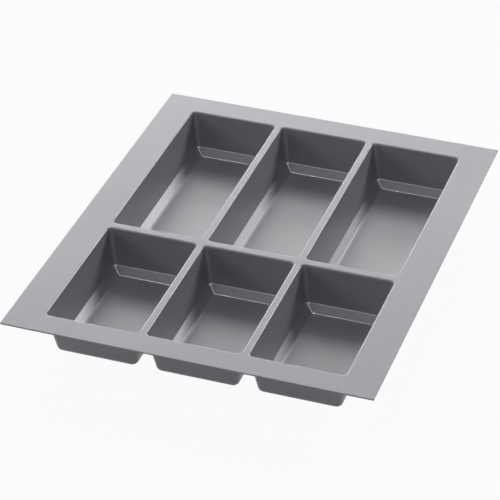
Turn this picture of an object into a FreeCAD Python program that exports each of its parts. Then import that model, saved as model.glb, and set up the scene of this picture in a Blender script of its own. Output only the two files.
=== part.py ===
import FreeCAD, Part
import os
import Sketcher
from FreeCAD import Vector

# Cutlery tray: a drawer insert moulded in one piece of plastic, with a flat border that is trimmed to fit the
# drawer, three long compartments at the back and three short ones in front.
# Frame: +X to the right, +Y to the back, +Z up, origin on the drawer's floor under the middle of the tray.

# Driving dimensions, in millimetres and degrees
SIZES = {
    "tray_width": 370,
    "tray_depth": 473,
    "tray_height": 47,
    "side_margin": 35,
    "front_margin": 28,
    "back_margin": 30,
    "column_gap": 7.5,
    "row_gap": 10,
    "front_length": 165,
    "sheet_thickness": 1.5,
    "draft_angle": 12,
    "bevel_angle": 47,
    "bevel_rise": 7.5,
    "floor_edge_radius": 1,
    "corner_radius": 4,
    "outer_side_draft_angle": 9.5,
    "outer_edge_radius": 6,
    "lip_radius": 2,
    "lip_land": 0.4,
}

# Sizes that follow from the driving ones. A compartment's wall has three stretches inside: the drafted wall,
# the bevel at its foot and the flat floor. Depths are measured down from the flat top, and insets in from the
# opening.
WORKED = {
    "opening_width": "(Sizes.tray_width - 2 * Sizes.side_margin - 2 * Sizes.column_gap) / 3",
    "field_length": "Sizes.tray_depth - Sizes.front_margin - Sizes.back_margin",
    "rear_length": "field_length - Sizes.row_gap - Sizes.front_length",
    "column_pitch": "opening_width + Sizes.column_gap",
    "rear_middle": "Sizes.tray_depth / 2 - Sizes.back_margin - rear_length / 2",
    "front_middle": "Sizes.front_margin + Sizes.front_length / 2 - Sizes.tray_depth / 2",
    "floor_depth": "Sizes.tray_height - Sizes.sheet_thickness",
    "foot_depth": "floor_depth - Sizes.bevel_rise",
    "foot_inset": "foot_depth * tan(Sizes.draft_angle)",
    "floor_inset": "foot_inset + Sizes.bevel_rise / tan(Sizes.bevel_angle)",
    "wall_side": "Sizes.sheet_thickness / cos(Sizes.draft_angle)",
    "lip_reach": "Sizes.lip_radius * tan(45 - Sizes.draft_angle / 2) + Sizes.lip_land",
    "divider_width": "Sizes.column_gap - 2 * lip_reach",
    "cross_width": "Sizes.row_gap - 2 * lip_reach",
    "field_width": "Sizes.tray_width - 2 * Sizes.side_margin + 2 * lip_reach",
}

# The two forms of a compartment: the block that its outside fills and the hollow inside it. Each has its
# depth, how far it stands out from the opening at the top, and the draft of its long sides and of its ends. The
# end walls keep the sheet's thickness and the side walls thicken downward.
FORMS = {
    "outside": {
        "depth": "Sizes.tray_height",
        "side": "Worked.wall_side",
        "side_draft": "Sizes.outer_side_draft_angle",
        "end_draft": "Sizes.draft_angle",
    },
    "inside": {
        "depth": "Worked.floor_depth",
        "side": "0",
        "side_draft": "Sizes.draft_angle",
        "end_draft": "Sizes.draft_angle",
    },
}

ROW_LENGTHS = {"rear": "Worked.rear_length", "front": "Sizes.front_length"}
ROW_MIDDLES = {"rear": "Worked.rear_middle", "front": "Worked.front_middle"}
COLUMNS = {"left": -1, "middle": 0, "right": 1}

# How near an edge has to lie to a level to count as in it, as a share of the sheet's thickness
NEAR_SHARE = 0.01


def fill_sheet(doc, name, cells, mark=""):
    """Makes a spreadsheet with an alias for every cell. The mark goes before each cell's text."""
    sheet = doc.addObject("Spreadsheet::Sheet", name)
    for row, (alias, content) in enumerate(cells.items(), start=1):
        sheet.set(f"A{row}", alias)
        sheet.set(f"B{row}", f"{mark}{content}")
        sheet.setAlias(f"B{row}", alias)
    doc.recompute()


def plane_sketch(body, name, role="XY_Plane"):
    """Makes a sketch on one of the body's three planes."""
    sketch = body.newObject("Sketcher::SketchObject", name)
    attach(sketch, body, role)
    return sketch


def attach(thing, body, role):
    """Lays a sketch or a block on one of the body's three planes."""
    plane = next(part for part in body.Origin.OriginFeatures if part.Role == role)
    thing.AttachmentSupport = [(plane, "")]
    thing.MapMode = "FlatFace"


def add_size(sketch, name, expression, kind, *ends):
    """Adds a dimension of a kind between ends, gives it a name and ties it to the expression."""
    number = sketch.addConstraint(Sketcher.Constraint(kind, *ends, sketch.evalExpression(expression)))
    sketch.renameConstraint(number, name)
    sketch.setExpression(f"Constraints.{name}", expression)


def add_rectangle(sketch, half_width, half_length):
    """Draws four joined lines, two along X and two along Y, and returns the first one's number."""
    first = sketch.GeometryCount
    corners = [Vector(-half_width, -half_length), Vector(half_width, -half_length),
               Vector(half_width, half_length), Vector(-half_width, half_length)]
    for index, corner in enumerate(corners):
        sketch.addGeometry(Part.LineSegment(corner, corners[(index + 1) % 4]), False)
    for index in range(4):
        sketch.addConstraint(Sketcher.Constraint("Coincident", first + index, 2, first + (index + 1) % 4, 1))
        sketch.addConstraint(Sketcher.Constraint("Vertical" if index % 2 else "Horizontal", first + index))
    return first


def centred_rectangle(sketch, width, length):
    """Draws a rectangle about the sketch's origin and returns its first line's number."""
    first = add_rectangle(sketch, sketch.evalExpression(width) / 2, sketch.evalExpression(length) / 2)
    sketch.addConstraint(Sketcher.Constraint("Symmetric", first, 1, first + 2, 1, -1, 1))
    add_size(sketch, "width", width, "DistanceX", first, 1, first, 2)
    add_size(sketch, "length", length, "DistanceY", first + 1, 1, first + 1, 2)
    return first


def foot_triangles(sketch, half_foot, half_floor, foot_depth, depth):
    """Draws the two mirrored corners that the bevel takes off the foot of a block."""
    side_x = sketch.evalExpression(half_foot)
    floor_x = sketch.evalExpression(half_floor)
    foot_y = -sketch.evalExpression(foot_depth)
    floor_y = -sketch.evalExpression(depth)
    for mirror in (1, -1):
        corners = [Vector(mirror * side_x, foot_y), Vector(mirror * side_x, floor_y),
                   Vector(mirror * floor_x, floor_y)]
        first = sketch.GeometryCount
        for index, corner in enumerate(corners):
            sketch.addGeometry(Part.LineSegment(corner, corners[(index + 1) % 3]), False)
        for index in range(3):
            following = first + (index + 1) % 3
            sketch.addConstraint(Sketcher.Constraint("Coincident", first + index, 2, following, 1))
    sketch.addConstraint(Sketcher.Constraint("Vertical", 0))
    sketch.addConstraint(Sketcher.Constraint("Horizontal", 1))
    for index in range(3):
        sketch.addConstraint(Sketcher.Constraint("Symmetric", index, 1, index + 3, 1, -2))
    add_size(sketch, "half_foot", half_foot, "DistanceX", -1, 1, 0, 1)
    add_size(sketch, "half_floor", half_floor, "DistanceX", -1, 1, 2, 1)
    add_size(sketch, "foot_depth", foot_depth, "DistanceY", 0, 1, -1, 1)
    add_size(sketch, "depth", depth, "DistanceY", 1, 2, -1, 1)


def add_block(body, name, length, form):
    """Makes a block that tapers downward by the draft of its sides and ends."""
    block = body.newObject("PartDesign::AdditiveWedge", name)
    attach(block, body, "XZ_Plane")
    block.setExpression("Ymin", f"-{form['depth']}")
    block.setExpression("Ymax", "0")
    for axis, size, draft in (("X", "Worked.opening_width", "side_draft"), ("Z", length, "end_draft")):
        top = f"{size} / 2 + {form['side']}"
        taper = f"{form['depth']} * tan({form[draft]})"
        block.setExpression(f"{axis}2min", f"-({top})")
        block.setExpression(f"{axis}2max", top)
        block.setExpression(f"{axis}min", f"{taper} - ({top})")
        block.setExpression(f"{axis}max", f"{top} - {taper}")


def cut_bevel(body, name, role, size):
    """Cuts the bevel along the foot of two opposite sides of the hollow's block."""
    sketch = plane_sketch(body, f"{name}_outline", role)
    foot_triangles(sketch, f"{size} / 2 - Worked.foot_inset", f"{size} / 2 - Worked.floor_inset",
                   "Worked.foot_depth", "Worked.floor_depth")
    cut = body.newObject("PartDesign::Pocket", name)
    cut.Profile = sketch
    cut.Type = "ThroughAll"
    cut.Midplane = True


def round_edges(body, name, wanted, radius):
    """Rounds the edges of the body whose boxes are wanted."""
    base = body.Tip
    numbered = enumerate(base.Shape.Edges, start=1)
    edges = [f"Edge{number}" for number, edge in numbered if wanted(edge.BoundBox)]
    rounding = body.newObject("PartDesign::Fillet", name)
    rounding.Base = (base, edges)
    rounding.setExpression("Radius", radius)


def add_compartment(doc, name, column, row):
    """Draws one compartment down from a flat collar, with a rounded lip at its opening."""
    length = ROW_LENGTHS[row]
    body = doc.addObject("PartDesign::Body", name)
    body.Label = name
    hollow = doc.addObject("PartDesign::Body", f"{name}_hollow")

    add_block(body, f"{name}_outside", length, FORMS["outside"])
    doc.recompute()
    sheet = body.Tip.evalExpression("Sizes.sheet_thickness")
    near = NEAR_SHARE * sheet
    round_edges(body, f"{name}_outer_edges", lambda box: box.ZMin < -near, "Sizes.outer_edge_radius")
    doc.recompute()
    outline = plane_sketch(body, f"{name}_collar_outline")
    centred_rectangle(outline, "Worked.opening_width + 2 * Worked.lip_reach",
                      f"{length} + 2 * Worked.lip_reach")
    collar = body.newObject("PartDesign::Pad", f"{name}_collar")
    collar.Profile = outline
    collar.Reversed = True
    collar.setExpression("Length", "Sizes.sheet_thickness")
    doc.recompute()

    add_block(hollow, f"{name}_inside", length, FORMS["inside"])
    doc.recompute()
    round_edges(hollow, f"{name}_corners", lambda box: box.ZLength > sheet, "Sizes.corner_radius")
    doc.recompute()
    cut_bevel(hollow, f"{name}_side_bevels", "XZ_Plane", "Worked.opening_width")
    cut_bevel(hollow, f"{name}_end_bevels", "YZ_Plane", length)
    doc.recompute()
    floor = near - hollow.Tip.evalExpression("Worked.floor_depth")
    round_edges(hollow, f"{name}_floor_edge", lambda box: box.ZMax < floor, "Sizes.floor_edge_radius")
    doc.recompute()

    opened = body.newObject("PartDesign::Boolean", f"{name}_opened")
    opened.Type = "Cut"
    opened.setObjects([hollow])
    doc.recompute()
    reach = near + opened.evalExpression("Worked.opening_width") / 2
    round_edges(body, f"{name}_lip", lambda box: box.ZMin > -near and box.XMax < reach and box.XMin > -reach,
                "Sizes.lip_radius")
    body.setExpression("Placement.Base.x", f"{column} * Worked.column_pitch")
    body.setExpression("Placement.Base.y", ROW_MIDDLES[row])
    body.setExpression("Placement.Base.z", "Sizes.tray_height")
    doc.recompute()
    return body


def add_rim(doc):
    """Makes the flat border as a frame round the collars of the compartments."""
    body = doc.addObject("PartDesign::Body", "rim_flange")
    body.Label = "rim_flange"
    body.setExpression("Placement.Base.z", "Sizes.tray_height")
    outline = plane_sketch(body, "rim_outline")
    outer = centred_rectangle(outline, "Sizes.tray_width", "Sizes.tray_depth")
    half_width = outline.evalExpression("Worked.field_width / 2")
    half_length = outline.evalExpression("Sizes.tray_depth / 2 - Sizes.front_margin + Worked.lip_reach")
    inner = add_rectangle(outline, half_width, half_length)
    side_strip = "Sizes.side_margin - Worked.lip_reach"
    front_strip = "Sizes.front_margin - Worked.lip_reach"
    back_strip = "Sizes.back_margin - Worked.lip_reach"
    add_size(outline, "left_strip", side_strip, "DistanceX", outer, 1, inner, 1)
    add_size(outline, "right_strip", side_strip, "DistanceX", inner, 2, outer, 2)
    add_size(outline, "front_strip", front_strip, "DistanceY", outer, 1, inner, 1)
    add_size(outline, "back_strip", back_strip, "DistanceY", inner + 2, 1, outer + 2, 1)
    frame = body.newObject("PartDesign::Pad", "rim_sheet")
    frame.Profile = outline
    frame.Reversed = True
    frame.setExpression("Length", "Sizes.sheet_thickness")
    doc.recompute()
    return body


def add_strip(doc, name, width, length, middle_x, middle_y):
    """Makes the flat top of a divider, which fills the gap between the collars on its two sides."""
    strip = doc.addObject("Part::Box", name)
    strip.Label = name
    strip.setExpression("Length", width)
    strip.setExpression("Width", length)
    strip.setExpression("Height", "Sizes.sheet_thickness")
    strip.setExpression("Placement.Base.x", f"{middle_x} - ({width}) / 2")
    strip.setExpression("Placement.Base.y", f"{middle_y} - ({length}) / 2")
    strip.setExpression("Placement.Base.z", "Worked.floor_depth")
    return strip


def add_dividers(doc):
    """Makes the divider across the tray and the four that run from it to the front and the back."""
    cross_middle = "Sizes.front_margin + Sizes.front_length + Sizes.row_gap / 2 - Sizes.tray_depth / 2"
    strips = [add_strip(doc, "cross_divider", "Worked.field_width", "Worked.cross_width", "0", cross_middle)]
    for row, length in ROW_LENGTHS.items():
        for side in ("left", "right"):
            strips.append(add_strip(doc, f"{row}_{side}_divider", "Worked.divider_width",
                                    f"{length} + 2 * Worked.lip_reach",
                                    f"{COLUMNS[side]} * Worked.column_pitch / 2", ROW_MIDDLES[row]))
    return strips


def check(doc, pieces):
    """Stops the build if any object failed or any piece isn't one sound solid."""
    failed = [thing.Label for thing in doc.Objects if {"Invalid", "Error"} & set(thing.State)]
    if failed:
        raise RuntimeError(f"failed objects: {failed}")
    for piece in pieces:
        shape = piece.Shape
        if shape.isNull() or not shape.isValid() or len(shape.Solids) != 1:
            raise RuntimeError(f"{piece.Label} isn't one sound solid")


def main():
    doc = FreeCAD.newDocument("cutlery_tray")
    fill_sheet(doc, "Sizes", SIZES)
    fill_sheet(doc, "Worked", WORKED, mark="=")
    pieces = [add_rim(doc)]
    pieces += add_dividers(doc)
    for row in ROW_LENGTHS:
        for side, column in COLUMNS.items():
            pieces.append(add_compartment(doc, f"{row}_{side}_compartment", column, row))
    doc.recompute()
    check(doc, pieces)
    os.makedirs("parts", exist_ok=True)
    for piece in pieces:
        piece.Shape.exportStep(f"parts/{piece.Label}.step")
        print(piece.Label, f"volume {piece.Shape.Volume:.1f}", piece.Shape.BoundBox)


main()
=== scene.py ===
import math

import bmesh
import bpy
from mathutils import Matrix, Vector


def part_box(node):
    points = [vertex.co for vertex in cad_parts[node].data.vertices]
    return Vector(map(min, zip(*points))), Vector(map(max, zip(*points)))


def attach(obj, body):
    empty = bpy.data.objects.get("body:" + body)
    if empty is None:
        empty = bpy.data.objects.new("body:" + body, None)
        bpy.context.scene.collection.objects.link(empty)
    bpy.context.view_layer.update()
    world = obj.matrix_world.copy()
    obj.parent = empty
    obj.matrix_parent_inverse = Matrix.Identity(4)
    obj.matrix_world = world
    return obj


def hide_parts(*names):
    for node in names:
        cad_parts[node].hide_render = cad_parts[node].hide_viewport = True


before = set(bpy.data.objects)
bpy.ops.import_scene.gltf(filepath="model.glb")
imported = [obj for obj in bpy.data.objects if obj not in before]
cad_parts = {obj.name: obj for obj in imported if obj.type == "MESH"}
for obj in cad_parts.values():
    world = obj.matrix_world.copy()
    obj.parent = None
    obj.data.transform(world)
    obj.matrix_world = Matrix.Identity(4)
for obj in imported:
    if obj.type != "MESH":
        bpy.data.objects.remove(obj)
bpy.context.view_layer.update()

ROWS = ("rear", "front")
COMPARTMENTS = [f"{row}_{column}_compartment" for row in ROWS for column in ("left", "middle", "right")]
DIVIDERS = ["cross_divider"] + [f"{row}_{side}_divider" for row in ROWS for side in ("left", "right")]

# Sizes of the moulded piece, in metres, as in the part's source
SHEET = 0.0015
DRAFT = math.radians(12)
BEVEL = math.radians(47)
BEVEL_RISE = 0.0075
EDGE_RADIUS = 0.001
FOOT_CORNER = 0.004
OUTER_SIDE_DRAFT = math.radians(9.5)
OUTER_EDGE_RADIUS = 0.006
LIP_RADIUS = 0.002
LIP_LAND = 0.0004
LIP_REACH = LIP_RADIUS * math.tan(math.pi / 4 - DRAFT / 2) + LIP_LAND

# Finer forms than the source has. Along the sides the bevel is a little wider and the floor's edge rounder.
# The upright corners inside are wider at the opening than at the wall's foot, and run out in the mitre.
SIDE_BEVEL = math.radians(44.5)
SIDE_EDGE_RADIUS = 0.004
OPENING_CORNER = 0.005
MITRE_CORNER = 0.0008
MITRE_DROP = 0.0016
# Radii of the fold under the lip, of the border's trimmed edge and of the border's corners
FOLD_RADIUS = 0.0006
TRIM_RADIUS = 0.0003
TRIM_CORNER = 0.0006

# How finely curves are divided, and how far the extra rings that keep flat faces flat stand from them
CORNER_STEPS = 12
ARC_STEPS = 8
SUPPORT = 0.0002
LEVEL_TOLERANCE = 0.000001
# The rings of the smaller arc at the ends serve for the first steps of the arc along the sides
FIRST_SIDE_STEP = 4
# How far the rings of the floor, of the underside and of the border reach over their flat faces
FLOOR_STRIP = 4 * EDGE_RADIUS
UNDERSIDE_STRIP = 2 * OUTER_EDGE_RADIUS
BORDER_STRIP = 10 * TRIM_RADIUS

# What a mark on a ring of a mesh means: how pale and how polished it is at the front and back ends, along the
# sides and in the corners. The lips and the trimmed edge are a little worn pale; the pale lines are painted
# highlights.
MARKS = {
    "": {"pale_wear_and_highlight": (0, 0, 0), "polished": (0, 0, 0)},
    "trim": {"pale_wear_and_highlight": (0.1, 0.1, 0.1), "polished": (0, 0, 0)},
    "inside": {"pale_wear_and_highlight": (0, 0, 0), "polished": (0.2, 0.2, 0.2)},
    "lip": {"pale_wear_and_highlight": (0.1, 0.1, 0.1), "polished": (0.6, 0.6, 0.6)},
    # The pale marks on the bevel's edges at the ends, in the corners and in the mitre are painted highlight
    # lines
    "edge": {"pale_wear_and_highlight": (1, 0, 1), "polished": (1, 0.36, 1)},
    "bevel": {"pale_wear_and_highlight": (0, 0, 1), "polished": (0.44, 0.32, 1)},
}

# The noises in the plastic: clouds and flecks for its tone and gloss, waves and grain for its surface. Most
# values of a noise lie in the span.
CLOUDS = {"Scale": 16, "Detail": 3, "Roughness": 0.5}
FLECKS = {"Scale": 900, "Detail": 2, "Roughness": 0.6}
WAVES = {"Scale": 11, "Detail": 1, "Roughness": 0.4}
GRAIN = {"Scale": 2600, "Detail": 2, "Roughness": 0.5}
NOISE_SPAN = (0.3, 0.7)
WAVES_BUMP = {"Strength": 0.25, "Distance": 0.0004}
GRAIN_BUMP = {"Strength": 0.12, "Distance": 0.00006}

# The plastic's two greys, what clouds and flecks add between them, and the tone and the evenness of the pale
# marks
DARK_GREY = (0.339, 0.335, 0.378, 1)
LIGHT_GREY = (0.369, 0.364, 0.411, 1)
CLOUD_TONE = (0, 0.55)
FLECK_TONE = (0, 0.45)
# The pale grey is light wear on the lips and the trimmed edge, and painted highlight lines on the bevel's
# edges
WEAR_AND_HIGHLIGHT_GREY = (0.8, 0.79, 0.83, 1)
WEAR_AND_HIGHLIGHT_SHARE = (0.7, 1)

# The plastic's gloss: its roughness, what flecks add to it, and the roughness where it is fully polished. The
# glaze is a coat on what is polished more than the lips are.
ROUGHNESS = (0.4, 0.44)
FLECK_ROUGHNESS = (0, 0.05)
POLISHED_ROUGHNESS = 0.1
PLASTIC_IOR = 1.75
GLAZE_START = 0.6
GLAZE_ROUGHNESS = 0.08
GLAZE_IOR = 2.2

# The stage: a floor just under the tray, the share of it that glows white for the camera, and the room light
FLOOR_REACH = 12
FLOOR_LEVEL = -0.0003
PAPER = (0.9, 0.9, 0.9, 1)
WHITE = (1, 1, 1, 1)
WHITE_STRENGTH = 1
GLOW_SHARE = 0.95
AMBIENT = 0.02

# Lamps: azimuth (0 is in front of the tray, 90 to its right) and elevation in degrees, width and height in
# metres, and power in watts
LAMPS = {
    "back_low": (192, 18, 2.3, 0.9, 38),
    "back_high": (192, 35, 2.3, 1.6, 30),
    "back_left": (219, 25, 2.3, 1.6, 54),
    "back_right": (146, 24, 1.5, 1.1, 66),
    "front_left": (-65, 25, 1.3, 1.3, 26),
    "overhead": (-90, 75, 0.2, 0.92, 16),
}
LAMP_DISTANCE = 5

# The camera, from the straight edges of the photograph: it looks down at the front right of the tray
CAMERA_TARGET = Vector((-0.0016, -0.0367, 0.047))
CAMERA_DISTANCE = 2.4116
CAMERA_AZIMUTH = math.radians(18.426)
CAMERA_ELEVATION = math.radians(32.938)
CAMERA_ROLL = math.radians(0.534)
CAMERA_LENS = 174.34
CAMERA_SENSOR = 36


def arc_points(before, corner, after, radius):
    """The points of the arc that rounds a corner of a flat path, from the side before to the side after."""
    to_before = (before - corner).normalized()
    to_after = (after - corner).normalized()
    half_angle = to_before.angle(to_after) / 2
    centre = corner + (to_before + to_after).normalized() * (radius / math.sin(half_angle))
    start = corner + to_before * (radius / math.tan(half_angle)) - centre
    end = corner + to_after * (radius / math.tan(half_angle)) - centre
    turn = start.angle(end)
    points = []
    for step in range(ARC_STEPS + 1):
        share = step / ARC_STEPS
        weight_start = math.sin((1 - share) * turn) / math.sin(turn)
        weight_end = math.sin(share * turn) / math.sin(turn)
        points.append(centre + start * weight_start + end * weight_end)
    return points


def rounded_path(corners, plain=""):
    """Rounds the corners of a path of (inset, depth, radius, mark), with an extra point beside each arc.

    Each point is a flat vector and a mark: nothing before the first arc, that of its corner on an arc, and
    the plain one elsewhere.
    """
    flat = [Vector(corner[:2]) for corner in corners]
    straight = ""
    points = [(flat[0], straight)]
    for number, (before, corner, after) in enumerate(zip(flat, flat[1:], flat[2:]), start=1):
        radius, mark = corners[number][2:]
        arc = arc_points(before, corner, after, radius)
        points.append((arc[0] + (before - arc[0]).normalized() * SUPPORT, straight))
        points += [(point, mark) for point in arc]
        straight = plain
        points.append((arc[-1] + (after - arc[-1]).normalized() * SUPPORT, straight))
    points.append((flat[-1], straight))
    return points


def ring(low, high, radius, height, square=False):
    """The points of a level rectangle with round corners. A square one has as many on sharp corners."""
    corners = [(high.x, high.y, -1, -1), (low.x, high.y, 1, -1), (low.x, low.y, 1, 1), (high.x, low.y, -1, 1)]
    arcs = []
    for quarter, (x, y, inward_x, inward_y) in enumerate(corners):
        arc = []
        for step in range(CORNER_STEPS + 1):
            angle = (quarter + step / CORNER_STEPS) * math.pi / 2
            reach = radius / max(abs(math.cos(angle)), abs(math.sin(angle))) if square else radius
            arc.append(Vector((x + inward_x * radius + reach * math.cos(angle),
                               y + inward_y * radius + reach * math.sin(angle), height)))
        arcs.append(arc)
    points = []
    for arc, following in zip(arcs, arcs[1:] + arcs[:1]):
        along = (following[0] - arc[-1]).normalized() * SUPPORT
        points += arc + [arc[-1] + along, following[0] - along]
    return points


def keep_marks(mesh, marks, count):
    """Keeps the marks of a skin's rings, of so many points each, as the mesh's pale (wear and painted
    highlight) and polished numbers.
    """
    for label in ("pale_wear_and_highlight", "polished"):
        layer = mesh.attributes.new(label, "FLOAT", "POINT")
        for number, mark in enumerate(marks):
            end, side, corner = MARKS[mark][label]
            for index in range(count):
                quarter, step = divmod(index, count // 4)
                straight = side if quarter % 2 else end
                layer.data[number * count + index].value = corner if step <= CORNER_STEPS else straight


def skin(name, rings, looped, sharp_rings, marks):
    """Joins rings of points into a closed skin, and marks it.

    A looped skin joins its last ring to its first, and any other has a cap on each of the two.
    """
    mesh = bpy.data.meshes.new(name)
    build = bmesh.new()
    rows = [[build.verts.new(point) for point in points] for points in rings]
    pairs = list(zip(rows, rows[1:]))
    if looped:
        pairs.append((rows[-1], rows[0]))
    else:
        build.faces.new(rows[0])
        build.faces.new(rows[-1])
    count = len(rows[0])
    for row, following in pairs:
        for index in range(count):
            after = (index + 1) % count
            build.faces.new((row[index], row[after], following[after], following[index]))
    bmesh.ops.recalc_face_normals(build, faces=build.faces)
    for face in build.faces:
        face.smooth = True
    for number in sharp_rings:
        for index in range(count):
            build.edges.get((rows[number][index], rows[number][(index + 1) % count])).smooth = False
    build.to_mesh(mesh)
    build.free()
    keep_marks(mesh, marks, count)
    piece = bpy.data.objects.new(name, mesh)
    bpy.context.collection.objects.link(piece)
    return piece


def inside_corner(inset, depth, foot_depth):
    """The radius of the upright corners inside, which shrinks a little to the foot and quickly below it."""
    wall_share = min(depth / foot_depth, 1)
    mitre_share = min(max(depth - foot_depth, 0) / MITRE_DROP, 1)
    wall = OPENING_CORNER + (FOOT_CORNER - OPENING_CORNER) * wall_share
    return wall + (MITRE_CORNER - FOOT_CORNER) * mitre_share + max(-inset, 0)


def inset_along_side(inset, depth, floor_inset, floor_depth):
    """The inset along the sides at the depth of a point of the path at the ends."""
    height = floor_depth - depth
    wider = BEVEL_RISE / math.tan(SIDE_BEVEL) - BEVEL_RISE / math.tan(BEVEL)
    reach = SIDE_EDGE_RADIUS * math.tan(SIDE_BEVEL / 2)
    if height > SIDE_EDGE_RADIUS * (1 - math.cos(SIDE_BEVEL)):
        return inset + wider * max(1 - height / BEVEL_RISE, 0)
    if height < LEVEL_TOLERANCE:
        return inset + wider + reach - EDGE_RADIUS * math.tan(BEVEL / 2)
    below_centre = SIDE_EDGE_RADIUS - height
    return floor_inset + wider + reach - math.sqrt(SIDE_EDGE_RADIUS ** 2 - below_centre ** 2)


def inside_path(foot_inset, foot_depth, floor_inset, floor_depth):
    """The path of the inside at the ends, from the collar's edge over the lip and down to the floor.

    It has extra points on the bevel, for the rings that the mitre and the rounder edge along the sides need.
    """
    path = rounded_path([
        (-LIP_REACH, 0, 0, ""),
        (0, 0, LIP_RADIUS, "lip"),
        (foot_inset, foot_depth, EDGE_RADIUS, "edge"),
        (floor_inset, floor_depth, EDGE_RADIUS, "edge"),
        (floor_inset + FLOOR_STRIP, floor_depth, 0, ""),
    ], "inside")
    side_angles = [SIDE_BEVEL * step / ARC_STEPS for step in range(FIRST_SIDE_STEP, ARC_STEPS + 1)]
    side_arc = [SIDE_EDGE_RADIUS * (1 - math.cos(angle)) for angle in side_angles]
    for height in (BEVEL_RISE - MITRE_DROP, side_arc[-1] + SUPPORT, *side_arc):
        point = Vector((floor_inset - height / math.tan(BEVEL), floor_depth - height))
        place = next(number for number, (other, _) in enumerate(path) if other.y > point.y)
        path.insert(place, (point, "inside"))
    for number, (point, mark) in enumerate(path):
        if mark == "inside" and foot_depth < point.y < floor_depth - LEVEL_TOLERANCE:
            path[number] = (point, "bevel")
    return path


def outside_path(bottom, draft):
    """The path of the outside from under the collar down a wall with a draft and in under the floor."""
    wall_side = SHEET / math.cos(DRAFT) - SHEET * math.tan(draft)
    foot_inset = bottom * math.tan(draft) - SHEET / math.cos(DRAFT)
    return rounded_path([
        (-LIP_REACH, SHEET, 0, ""),
        (-wall_side, SHEET, FOLD_RADIUS, ""),
        (foot_inset, bottom, OUTER_EDGE_RADIUS, ""),
        (foot_inset + UNDERSIDE_STRIP, bottom, 0, ""),
    ])


def make_compartment(node):
    """Builds one compartment with its collar, its walls inside and outside and its floor, over its CAD node.

    Its rings run from the floor up the inside, over the lip, and down the outside to the underside.
    """
    low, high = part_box(node)
    top = high.z
    bottom = top - low.z
    floor_depth = bottom - SHEET
    foot_depth = floor_depth - BEVEL_RISE
    foot_inset = foot_depth * math.tan(DRAFT)
    floor_inset = foot_inset + BEVEL_RISE / math.tan(BEVEL)
    inside = inside_path(foot_inset, foot_depth, floor_inset, floor_depth)
    outside_ends = outside_path(bottom, DRAFT)
    outside_sides = outside_path(bottom, OUTER_SIDE_DRAFT)

    def level(side_inset, end_inset, depth, radius, square):
        margin = Vector((LIP_REACH + side_inset, LIP_REACH + end_inset, 0))
        return ring(low + margin, high - margin, radius, top - depth, square)

    rings = []
    marks = []
    for number, ((inset, depth), mark) in reversed(list(enumerate(inside))):
        across = inset_along_side(inset, depth, floor_inset, floor_depth)
        rings.append(level(across, inset, depth, inside_corner(inset, depth, foot_depth), number == 0))
        marks.append(mark)
    for number, ((side, _), (end, mark)) in enumerate(zip(outside_sides, outside_ends)):
        end_inset, depth = end
        turned_in = max(end_inset - depth * math.tan(DRAFT) + SHEET / math.cos(DRAFT), 0) if number else 0
        radius = max(OUTER_EDGE_RADIUS - turned_in, EDGE_RADIUS)
        rings.append(level(side.x, end_inset, depth, radius, number == 0))
        marks.append(mark)
    collar_edge = len(inside) - 1
    return skin(f"{node}_sheet", rings, False, (collar_edge, collar_edge + 1), marks)


def make_rim():
    """Builds the flat border with a rounded trimmed edge, round the field of collars and dividers."""
    low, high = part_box("rim_flange")
    field_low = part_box("front_left_compartment")[0]
    field_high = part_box("rear_right_compartment")[1]
    trimmed = rounded_path([
        (BORDER_STRIP, high.z, 0, ""),
        (0, high.z, TRIM_RADIUS, "trim"),
        (0, low.z, TRIM_RADIUS, "trim"),
        (BORDER_STRIP, low.z, 0, ""),
    ])
    rings = [ring(field_low, field_high, TRIM_CORNER, high.z, True)]
    marks = [""]
    for (inset, height), mark in trimmed:
        margin = Vector((inset, inset, 0))
        rings.append(ring(low + margin, high - margin, TRIM_CORNER, height))
        marks.append(mark)
    rings.append(ring(field_low, field_high, TRIM_CORNER, low.z, True))
    marks.append("")
    return skin("rim_flange_sheet", rings, True, (0, len(rings) - 1), marks)


def add_node(tree, kind, settings=None, **inputs):
    """Adds a shader node, with its settings and the values of its sockets."""
    node = tree.nodes.new(kind)
    for name, value in (settings or {}).items():
        setattr(node, name, value)
    for name, value in inputs.items():
        node.inputs[name.replace("_", " ")].default_value = value
    return node


def combine(tree, operation, first, second):
    """Combines two numbers with a math node."""
    node = add_node(tree, "ShaderNodeMath", {"operation": operation})
    tree.links.new(first, node.inputs[0])
    tree.links.new(second, node.inputs[1])
    return node.outputs["Value"]


def noise(tree, place, kind):
    """A noise of a kind, at places on the object."""
    node = add_node(tree, "ShaderNodeTexNoise", **kind)
    tree.links.new(place, node.inputs["Vector"])
    return node.outputs["Fac"]


def spread(tree, source, limits):
    """Turns a noise into a number between two limits."""
    span_low, span_high = NOISE_SPAN
    low, high = limits
    node = add_node(tree, "ShaderNodeMapRange",
                    From_Min=span_low, From_Max=span_high, To_Min=low, To_Max=high)
    tree.links.new(source, node.inputs["Value"])
    return node.outputs["Result"]


def kept_number(tree, label):
    """A number that skin keeps on the meshes, and 0 on the CAD nodes."""
    return add_node(tree, "ShaderNodeAttribute", {"attribute_name": label}).outputs["Fac"]


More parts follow.
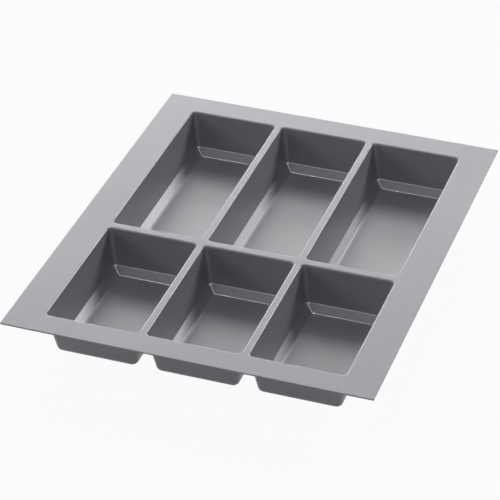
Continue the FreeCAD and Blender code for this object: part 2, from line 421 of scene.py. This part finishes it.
def set_tone(tree, shader, clouds, flecks):
    """Gives the plastic its slightly uneven grey, and a paler one where it is worn and as painted highlight
    lines on the bevel's edges.
    """
    tone = combine(tree, "ADD", spread(tree, clouds, CLOUD_TONE), spread(tree, flecks, FLECK_TONE))
    greys = add_node(tree, "ShaderNodeValToRGB")
    for element, grey in zip(greys.color_ramp.elements, (DARK_GREY, LIGHT_GREY)):
        element.color = grey
    tree.links.new(tone, greys.inputs["Fac"])
    wear_and_highlight = combine(tree, "MULTIPLY", kept_number(tree, "pale_wear_and_highlight"), spread(tree, clouds, WEAR_AND_HIGHLIGHT_SHARE))
    paler = add_node(tree, "ShaderNodeMix", {"data_type": "RGBA"}, B=WEAR_AND_HIGHLIGHT_GREY)
    tree.links.new(wear_and_highlight, paler.inputs["Factor"])
    tree.links.new(greys.outputs["Color"], paler.inputs["A"])
    tree.links.new(paler.outputs["Result"], shader.inputs["Base Color"])


def set_gloss(tree, shader, clouds, flecks):
    """Gives the plastic its satin gloss, smoother where polished, with a glaze where polished most."""
    satin = combine(tree, "ADD", spread(tree, clouds, ROUGHNESS), spread(tree, flecks, FLECK_ROUGHNESS))
    polished = kept_number(tree, "polished")
    smoother = add_node(tree, "ShaderNodeMix", {"data_type": "FLOAT"}, B=POLISHED_ROUGHNESS)
    tree.links.new(polished, smoother.inputs["Factor"])
    tree.links.new(satin, smoother.inputs["A"])
    tree.links.new(smoother.outputs["Result"], shader.inputs["Roughness"])
    glaze = add_node(tree, "ShaderNodeMapRange", From_Min=GLAZE_START, From_Max=1)
    tree.links.new(polished, glaze.inputs["Value"])
    tree.links.new(glaze.outputs["Result"], shader.inputs["Coat Weight"])
    shader.inputs["Coat Roughness"].default_value = GLAZE_ROUGHNESS
    shader.inputs["Coat IOR"].default_value = GLAZE_IOR
    shader.inputs["IOR"].default_value = PLASTIC_IOR


def set_surface(tree, shader, waves, grain):
    """Gives the plastic slow waves and a fine grain."""
    coarse = add_node(tree, "ShaderNodeBump", **WAVES_BUMP)
    tree.links.new(waves, coarse.inputs["Height"])
    fine = add_node(tree, "ShaderNodeBump", **GRAIN_BUMP)
    tree.links.new(grain, fine.inputs["Height"])
    tree.links.new(coarse.outputs["Normal"], fine.inputs["Normal"])
    tree.links.new(fine.outputs["Normal"], shader.inputs["Normal"])


def sheet_material():
    """Satin grey moulded plastic: a fine grain, slightly uneven tone and gloss, and paler edges, worn on the
    lips and painted highlight lines on the bevel.
    """
    material = bpy.data.materials.new("satin_grey_sheet")
    material.use_nodes = True
    tree = material.node_tree
    shader = tree.nodes["Principled BSDF"]
    place = add_node(tree, "ShaderNodeTexCoord").outputs["Object"]
    clouds = noise(tree, place, CLOUDS)
    flecks = noise(tree, place, FLECKS)
    set_tone(tree, shader, clouds, flecks)
    set_gloss(tree, shader, clouds, flecks)
    set_surface(tree, shader, noise(tree, place, WAVES), noise(tree, place, GRAIN))
    return material


def seen_directly(tree):
    """A number that is 1 for what the camera sees, directly or in gloss or glass, and 0 for other light."""
    path = add_node(tree, "ShaderNodeLightPath")
    seen_or_glossy = combine(tree, "MAXIMUM", path.outputs["Is Camera Ray"], path.outputs["Is Glossy Ray"])
    return combine(tree, "MAXIMUM", seen_or_glossy, path.outputs["Is Transmission Ray"])


def floor_material():
    """White paper that mostly glows for the camera, so that the tray's shadow on it is faint."""
    material = bpy.data.materials.new("white_floor")
    material.use_nodes = True
    tree = material.node_tree
    tree.nodes.clear()
    output = add_node(tree, "ShaderNodeOutputMaterial")
    paper = add_node(tree, "ShaderNodeBsdfDiffuse", Color=PAPER)
    glow = add_node(tree, "ShaderNodeEmission", Color=WHITE, Strength=WHITE_STRENGTH)
    share = add_node(tree, "ShaderNodeMath", {"operation": "MULTIPLY"})
    share.inputs[1].default_value = GLOW_SHARE
    tree.links.new(seen_directly(tree), share.inputs[0])
    lit = add_node(tree, "ShaderNodeMixShader")
    tree.links.new(share.outputs["Value"], lit.inputs["Fac"])
    tree.links.new(paper.outputs["BSDF"], lit.inputs[1])
    tree.links.new(glow.outputs["Emission"], lit.inputs[2])
    tree.links.new(lit.outputs["Shader"], output.inputs["Surface"])
    return material


def make_floor():
    """Lays a wide white floor under the tray."""
    mesh = bpy.data.meshes.new("floor")
    signs = ((-1, -1), (1, -1), (1, 1), (-1, 1))
    corners = [(x * FLOOR_REACH, y * FLOOR_REACH, FLOOR_LEVEL) for x, y in signs]
    mesh.from_pydata(corners, [], [(0, 1, 2, 3)])
    mesh.materials.append(floor_material())
    floor = bpy.data.objects.new("floor", mesh)
    bpy.context.collection.objects.link(floor)


def from_angles(azimuth, elevation):
    """The direction from the tray at an azimuth, 0 in front and 90 degrees to the right, and an elevation."""
    level = math.cos(elevation)
    return Vector((level * math.sin(azimuth), -level * math.cos(azimuth), math.sin(elevation)))


def make_lamps():
    """Hangs the soft lamps round the tray."""
    for name, (azimuth, elevation, width, height, power) in LAMPS.items():
        light = bpy.data.lights.new(name, "AREA")
        light.shape = "RECTANGLE"
        light.size = width
        light.size_y = height
        light.energy = power
        lamp = bpy.data.objects.new(name, light)
        direction = from_angles(math.radians(azimuth), math.radians(elevation))
        lamp.location = direction * LAMP_DISTANCE
        lamp.rotation_euler = direction.to_track_quat("Z", "Y").to_euler()
        bpy.context.collection.objects.link(lamp)


def make_room():
    """Sets the low even light of the room, which looks white to the camera."""
    world = bpy.data.worlds.new("room")
    world.use_nodes = True
    tree = world.node_tree
    background = tree.nodes["Background"]
    background.inputs["Color"].default_value = WHITE
    strength = add_node(tree, "ShaderNodeMapRange", To_Min=AMBIENT, To_Max=WHITE_STRENGTH)
    tree.links.new(seen_directly(tree), strength.inputs["Value"])
    tree.links.new(strength.outputs["Result"], background.inputs["Strength"])
    bpy.context.scene.world = world


def make_camera():
    """Sets the camera at the photograph's viewpoint."""
    data = bpy.data.cameras.new("camera")
    data.sensor_fit = "HORIZONTAL"
    data.sensor_width = CAMERA_SENSOR
    data.lens = CAMERA_LENS
    camera = bpy.data.objects.new("camera", data)
    direction = from_angles(CAMERA_AZIMUTH, CAMERA_ELEVATION)
    turn = direction.to_track_quat("Z", "Y").to_matrix() @ Matrix.Rotation(CAMERA_ROLL, 3, "Z")
    camera.location = CAMERA_TARGET + direction * CAMERA_DISTANCE
    camera.rotation_euler = turn.to_euler()
    bpy.context.collection.objects.link(camera)
    bpy.context.scene.camera = camera


def dress_tray():
    """Replaces the compartments and the border with finer meshes, and gives every node the plastic."""
    material = sheet_material()
    replaced = {node: make_compartment(node) for node in COMPARTMENTS}
    replaced["rim_flange"] = make_rim()
    for node, piece in replaced.items():
        piece.data.materials.append(material)
        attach(piece, "root")
        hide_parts(node)
    for node in DIVIDERS:
        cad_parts[node].material_slots[0].material = material


bpy.context.scene.view_settings.view_transform = "Standard"
make_camera()
make_floor()
make_lamps()
make_room()
dress_tray()
